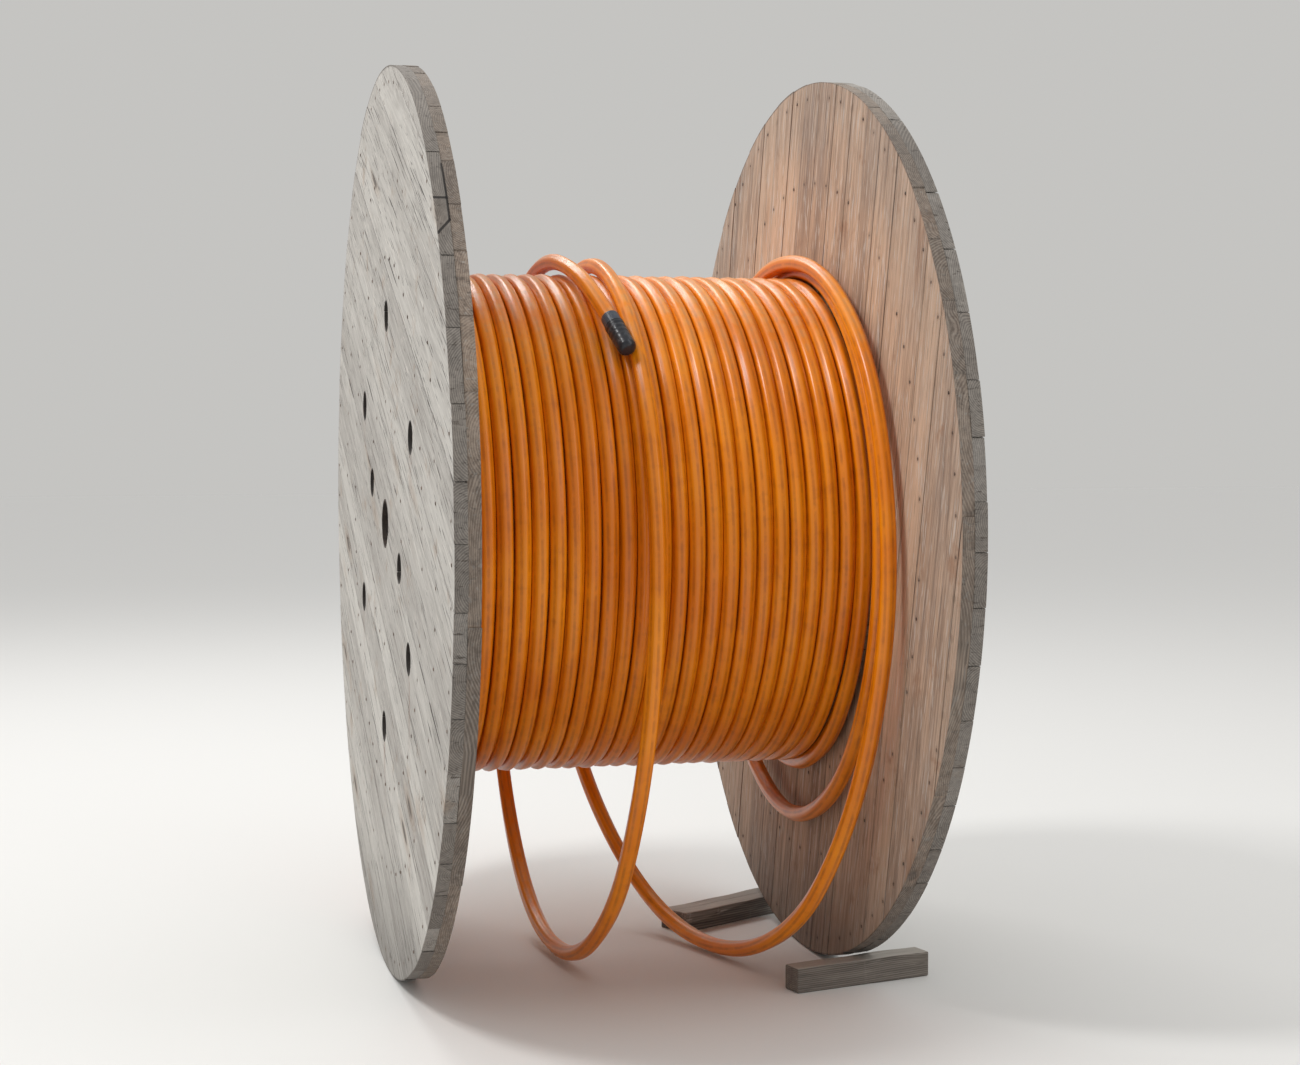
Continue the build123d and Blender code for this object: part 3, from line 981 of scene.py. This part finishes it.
def wood_finish(name, pale, dark, stain, streaky, checked, knotty, flecked=0.35, joints=0.45,
                rusty=False, greyed=0.0, muddy=0.5, painted_top_light=0.1):
    """Wood that reads its place in its own board from the piece's attributes."""
    wood = Finish(name)
    place = wood.attribute("grain", "Vector")
    heart = wood.attribute("heart", "Vector")
    where = wood.object_place()
    soot = shown(44, 38, 34)

    near_knot, has_knot = knot_cells(wood, place, knotty)
    knot = (1 - wood.between(near_knot, 0.07, 0.14)) * has_knot
    halo = (1 - wood.between(near_knot, 0.08, 0.34)) * has_knot
    rings = growth_rings(wood, place, heart, halo * 0.02)
    streaks = wood.noise(place, (1.1, 22, 22), 5, 0.68)
    fine = wood.noise(place, (3.6, 80, 80), 5, 0.75)
    fibres = wood.noise(place, (9, 330, 330), 2, 0.6)
    patches = wood.noise(where, 2.3, 4, 0.6)
    outward = wood.length(wood.scaled(where, (0, 1, 1)))
    flecks = wood.between(wood.noise(place, (11, 150, 90), 2), 0.60, 0.68)
    splashes = wood.between(wood.noise(where, (24, 24, 4), 5, 0.72), 0.61, 0.69)
    blotches = wood.between(wood.noise(where, 7, 4, 0.7), 0.58, 0.72)
    dashes = wood.between(wood.noise(place, (7, 170, 60), 2, 0.6), 0.63, 0.68) * checked
    checks = wood.between(wood.noise(place, (2.6, 120, 30), 1), 0.70, 0.715) * checked

    tone = wood.attribute("tone", "Fac")
    darkness = streaks * 1.1 + fine * 0.9 + rings * 0.16 + patches * 0.5 + tone * 0.45
    body = wood.blend(wood.between(darkness, 1.70 - streaky, 1.70 + streaky), pale, dark)
    body = wood.blend(wood.between(fibres, 0.4, 0.8) * 0.35, body, dark)
    body = wood.blend(flecks * flecked, body, shown(222, 215, 206))
    body = wood.blend(splashes * flecked, body, shown(212, 203, 193))
    rained_on = wood.between(outward + patches * 0.5 + streaks * 0.3, 1.05, 1.65)
    rain_grey = wood.blend(
        wood.between(fine, 0.35, 0.65), shown(174, 165, 155), shown(110, 103, 96))
    body = wood.blend(rained_on * greyed, body, rain_grey)
    body = wood.blend(blotches * 0.45, body, stain)
    body = wood.blend(halo * 0.4, body, stain)
    body = wood.blend(knot * 0.7, body, soot)
    body = wood.blend(dashes * 0.75, body, soot)
    body = wood.blend(checks * 0.9, body, soot)
    edge = wood.reckon("ABSOLUTE", wood.attribute("share", "Fac") - 0.5)
    body = wood.blend(wood.between(edge, 0.455, 0.495) * joints, body, soot)
    body = wood.blend(nail_stains(wood, where) * 0.26, body, shown(98, 80, 66))
    if rusty:
        run = rod_stains(wood, where) * wood.between(wood.noise(where, (40, 40, 3), 3), 0.35, 0.7)
        body = wood.blend(run * 0.6, body, shown(126, 84, 56))
        # Painted shade: the walls of the pockets and pin holes are darkened almost to black.
        body = wood.blend(shaded_hollow_walls(wood, where) * 0.94, body, shown(36, 31, 28))

    on_rim = wood.between(outward, FLANGE_RADIUS - 0.0075, FLANGE_RADIUS - 0.0020)
    ends = wood.between(rings * 0.3 + fine * 0.9 + patches * 0.5, 0.55, 1.05)
    ends = wood.blend(ends, shown(126, 117, 108), shown(78, 71, 65))
    body = wood.blend(on_rim * 0.85, body, ends)
    body = wood.blend(rim_splits(wood, where) * on_rim * 0.9, body, shown(24, 21, 19))
    low = 1 - wood.between(wood.part(where, "Z") + patches * 0.3, -1.10, -0.72)
    body = wood.blend(low * muddy, body, shown(66, 60, 54))
    # Painted light: faces that look up are paler, as a sunlit top is; the chocks get the most.
    lit_top = wood.between(wood.facing_up(), 0.6, 0.95) * wood.between(fine, 0.3, 0.5)
    body = wood.blend(lit_top * painted_top_light, body, shown(196, 189, 179))

    raised = rings * 0.15 + fine * 0.6 + fibres * 0.3 + patches * 0.3
    sunk = dashes * 0.9 + checks * 1.8 + knot * 0.3
    wood.cover(
        Base_Color=body,
        Roughness=fine * 0.2 + 0.72,
        Normal=wood.bump(raised - sunk, 0.6, 0.0020),
    )
    return wood.material


chock_wood = wood_finish(
    "chock wood", pale=shown(150, 141, 132), dark=shown(82, 75, 69), stain=shown(92, 76, 62),
    streaky=0.36, checked=1.0, knotty=0.34, muddy=0.0, painted_top_light=0.6)
for piece in timbers:
    piece.data.materials.append(chock_wood)
print("chock wood:", len(chock_wood.node_tree.nodes), "nodes")

# %% [markdown]
# The boards use the same function. The outer ones have been in the rain for years and are grey
# with many checks. The inner ones are sheltered between the flanges: they are still brown, with
# pale splashes, and turn grey only towards the rim.

# %% Wood of the boards
weathered = {
    "outer": wood_finish(
        "grey board wood", pale=shown(198, 194, 187), dark=shown(142, 136, 130),
        stain=shown(150, 124, 100), streaky=0.6, checked=1.0, knotty=0.55, joints=0.16, rusty=True),
    "inner": wood_finish(
        "brown board wood", pale=shown(218, 184, 153), dark=shown(134, 107, 89),
        stain=shown(140, 97, 66), streaky=0.52, checked=0.5, knotty=0.34,
        flecked=0.75, joints=0.25, greyed=0.5),
}
for (side, place), piece in layers.items():
    piece.data.materials.append(weathered[place])
print("wood of the outer boards:", len(weathered["outer"].node_tree.nodes), "nodes")

# %% [markdown]
# The core's staves are sheltered by the winding, so they kept their sawn brown. They stay the CAD
# model's own pieces, which have no attribute of ours. Their grain runs along the drum, so Object
# coordinates serve: little change along X, much across it.

# %% Sawn wood of the core


def core_finish():
    """Brown wood whose streaks run along the drum's axis."""
    wood = Finish("core wood")
    where = wood.object_place()
    streaks = wood.noise(where, (1.6, 60, 60), 5, 0.65)
    fibres = wood.noise(where, (8, 300, 300), 2, 0.6)
    dust = wood.noise(where, 9, 4, 0.6)
    body = wood.blend(wood.between(streaks, 0.35, 0.68), shown(182, 160, 136), shown(140, 116, 92))
    body = wood.blend(wood.between(fibres, 0.45, 0.75) * 0.4, body, shown(112, 88, 68))
    body = wood.blend(wood.between(dust, 0.5, 0.75) * 0.3, body, shown(120, 110, 100))
    wood.cover(
        Base_Color=body,
        Roughness=streaks * 0.2 + 0.7,
        Normal=wood.bump(streaks * 0.5 + fibres * 0.5, 0.5, 0.0015),
    )
    return wood.material


core_wood = core_finish()
print("core wood:", len(core_wood.node_tree.nodes), "nodes")

# %% [markdown]
# ### Orange plastic, black rubber and rust
#
# The duct's sheath is polyethylene: a strong orange with a satin shine, faint ribs along it, dirt
# and painted shade in the dips between the small ducts, and a paler, duller tone on what faces up.
# The ribs are a sine of the place round the duct, from its UV map, so they follow every bend, and
# the dirt and painted shade use the same formula as the dips.

# %% Orange plastic
RIBS = 36


def duct_finish():
    """Orange polyethylene: fine ribs and scuffs that run along it, paler and duller on what faces up.
    """
    plastic = Finish("orange duct")
    spot = plastic.add("ShaderNodeUVMap", {"uv_map": "UVMap"})
    where = plastic.object_place()
    ribs = plastic.reckon("SINE", plastic.part(spot, "X") * (2 * math.pi * RIBS)) * 0.5 + 0.5
    scuffs = plastic.noise(spot, (60, 3, 1), 5, 0.65)
    worn = plastic.between(scuffs, 0.60, 0.85)
    clouds = plastic.noise(where, 3.4, 4, 0.55)
    grime = plastic.noise(where, 24, 5, 0.62)
    clouded = plastic.between(clouds, 0.32, 0.70)
    colour = plastic.blend(clouded, shown(224, 120, 0), shown(240, 142, 6))
    colour = plastic.blend(plastic.between(grime, 0.52, 0.78) * 0.35, colour, shown(176, 84, 4))
    round_it = plastic.part(spot, "X") * (2 * math.pi * SMALL_DUCTS)
    phase = round_it + plastic.part(spot, "Y") * TWIST
    dips = plastic.between(plastic.reckon("COSINE", phase), 0.1, 1.0)
    # Dirt and painted shade: the dips between the small ducts are darkened in patches.
    dip_dirt_and_shade = dips * plastic.between(grime, 0.25, 0.6)
    colour = plastic.blend(dip_dirt_and_shade * 0.42, colour, shown(142, 68, 10))
    colour = plastic.blend(worn * 0.18, colour, shown(246, 182, 100))
    # Paler and duller where the duct faces up.
    pale_upward = plastic.between(plastic.facing_up(), 0.45, 1.0) * plastic.between(grime, 0.34, 0.66)
    colour = plastic.blend(pale_upward * 0.44, colour, shown(226, 184, 128))
    plastic.cover(
        Base_Color=colour,
        Specular_IOR_Level=0.5,
        Roughness=scuffs * 0.16 + pale_upward * 0.12 + 0.24,
        Normal=plastic.bump(ribs * 0.35 + scuffs * 0.4 + grime * 0.25, 0.35, 0.0007),
    )
    return plastic.material


orange_duct = duct_finish()
for piece in (slack, wound):
    piece.data.materials.append(orange_duct)
print("orange duct:", len(orange_duct.node_tree.nodes), "nodes")

# %% [markdown]
# The cap is black rubber with pale scuffs. Its thin sleeve has a painted highlight: a blue-grey tint
# for the glint of light on it.
# The rods, nuts, washers and bushes are rusty steel, and so are the nails: two browns and a dark
# scale mixed by noise, matt, with a pitted surface. The shades differ: the bushes' rust is painted
# darker as shade, as they sit deep in the bore, and the nails have weathered to grey.

# %% Rubber and rust


def rubber_finish():
    """Black shrink rubber, with a painted blue-grey highlight on the sleeve, where the UV map's length
    is below 0.
    """
    rubber = Finish("black rubber")
    where = rubber.object_place()
    spot = rubber.add("ShaderNodeUVMap", {"uv_map": "UVMap"})
    sleeve = 1 - rubber.between(rubber.part(spot, "Y"), -0.001, 0.001)
    grain = rubber.noise(where, 160, 4, 0.6)
    marks = rubber.between(rubber.noise(where, 46, 5, 0.7), 0.54, 0.70)
    # Painted highlight: the sleeve is blue-grey for the glint of light on its wrinkles.
    colour = rubber.blend(sleeve, shown(32, 35, 42), shown(64, 72, 84))
    rubber.cover(
        Base_Color=rubber.blend(marks * 0.4, colour, shown(116, 121, 128)),
        Roughness=marks * 0.25 + 0.30,
        Normal=rubber.bump(grain, 0.25, 0.0006),
    )
    return rubber.material


def rust_finish(name, light, deep):
    """Rusty steel: two browns and a dark scale by noise, matt, with pits."""
    rust = Finish(name)
    where = rust.object_place()
    bloom = rust.noise(where, 38, 5, 0.65)
    pits = rust.noise(where, 420, 4, 0.6)
    scale = rust.between(rust.noise(where, 90, 4, 0.6), 0.52, 0.64)
    colour = rust.blend(rust.between(bloom, 0.35, 0.68), deep, light)
    rust.cover(
        Base_Color=rust.blend(scale * 0.6, colour, shown(52, 42, 38)),
        Metallic=scale * 0.35,
        Roughness=0.86 - scale * 0.22,
        Normal=rust.bump(pits * 0.6 + bloom * 0.4, 0.5, 0.0008),
    )
    return rust.material


bolt_rust = rust_finish("bolt rust", shown(150, 98, 68), shown(92, 62, 46))
nail_rust = rust_finish("nail rust", shown(120, 102, 88), shown(84, 72, 64))
# Painted shade: the bushes' rust is darker, for the shade in the bore.
bush_rust_and_shade = rust_finish("bush rust and shade", shown(78, 64, 55), shown(40, 35, 32))
nails.data.materials.append(nail_rust)
for piece in (rods, nuts):
    piece.data.materials.append(bolt_rust)
cap.data.materials.append(rubber_finish())
for kind, finish in (("washer", bolt_rust), ("arbour", bush_rust_and_shade), ("core", core_wood)):
    for name, node in nodes.items():
        if name.startswith(kind):
            node.data.materials.clear()
            node.data.materials.append(finish)
print("finishes:", [material.name for material in bpy.data.materials if material.users])

# %% [markdown]
# ## Floor and light
#
# A pale floor and soft lamps let the colours speak. The sky lights everything evenly. The
# background is a plain pale colour for the camera and in reflections only, chosen through the
# light path, so it adds no light to the drum. It is about as bright as the floor is far away,
# which hides the horizon.

# %% Floor and sky
SKY_LIGHT = 0.74
FLOOR_COLOUR = shown(225, 224, 221)
FLOOR_REACH = 40.0
FLOOR_HEIGHT = -FLANGE_RADIUS - 0.0002
corners = np.array([(-1, -1), (1, -1), (1, 1), (-1, 1)]) * FLOOR_REACH
floor = new_piece("floor", np.c_[corners, np.full(4, FLOOR_HEIGHT)], [[0, 1, 2, 3]], smooth=False)
floor_finish = Finish("pale floor")
floor_finish.cover(Base_Color=FLOOR_COLOUR, Roughness=0.9)
floor.data.materials.append(floor_finish.material)

world = bpy.data.worlds.new("studio")
world.use_nodes = True
bpy.context.scene.world = world
shaders = world.node_tree.nodes
links = world.node_tree.links
sky = shaders["Background"]
sky.inputs["Color"].default_value = (1, 1, 1, 1)
sky.inputs["Strength"].default_value = SKY_LIGHT
backdrop = shaders.new("ShaderNodeBackground")
backdrop.inputs["Color"].default_value = (*(SKY_LIGHT * part for part in FLOOR_COLOUR), 1)
light_path = shaders.new("ShaderNodeLightPath")
camera_or_glossy = shaders.new("ShaderNodeMath")
any_of_three = shaders.new("ShaderNodeMath")
camera_or_glossy.operation = any_of_three.operation = "MAXIMUM"
choice = shaders.new("ShaderNodeMixShader")
links.new(light_path.outputs["Is Camera Ray"], camera_or_glossy.inputs[0])
links.new(light_path.outputs["Is Glossy Ray"], camera_or_glossy.inputs[1])
links.new(camera_or_glossy.outputs[0], any_of_three.inputs[0])
links.new(light_path.outputs["Is Transmission Ray"], any_of_three.inputs[1])
links.new(any_of_three.outputs[0], choice.inputs[0])
links.new(sky.outputs[0], choice.inputs[1])
links.new(backdrop.outputs[0], choice.inputs[2])
links.new(choice.outputs[0], shaders["World Output"].inputs["Surface"])
print("sky of strength", SKY_LIGHT)

# %% [markdown]
# In the photograph the sun is high on the left. So the largest lamp hangs there, soft enough to
# leave no hard shadow, and it draws the long bright line high on each turn. A weaker lamp on the
# right opens the shaded sides, and one behind lights the top edges.

# %% Lamps


def lamp(name, place, size, power):
    """A square soft lamp that faces the drum."""
    data = bpy.data.lights.new(name, "AREA")
    data.size = size
    data.energy = power
    set_up(data, place, (0, 0, 0))


lamp("key", (-6.0, -1.0, 8.0), 2.2, 430)
lamp("fill", (6.0, -5.0, 3.0), 5.0, 90)
lamp("back", (-1.5, 6.5, 7.0), 3.0, 240)

# %% [markdown]
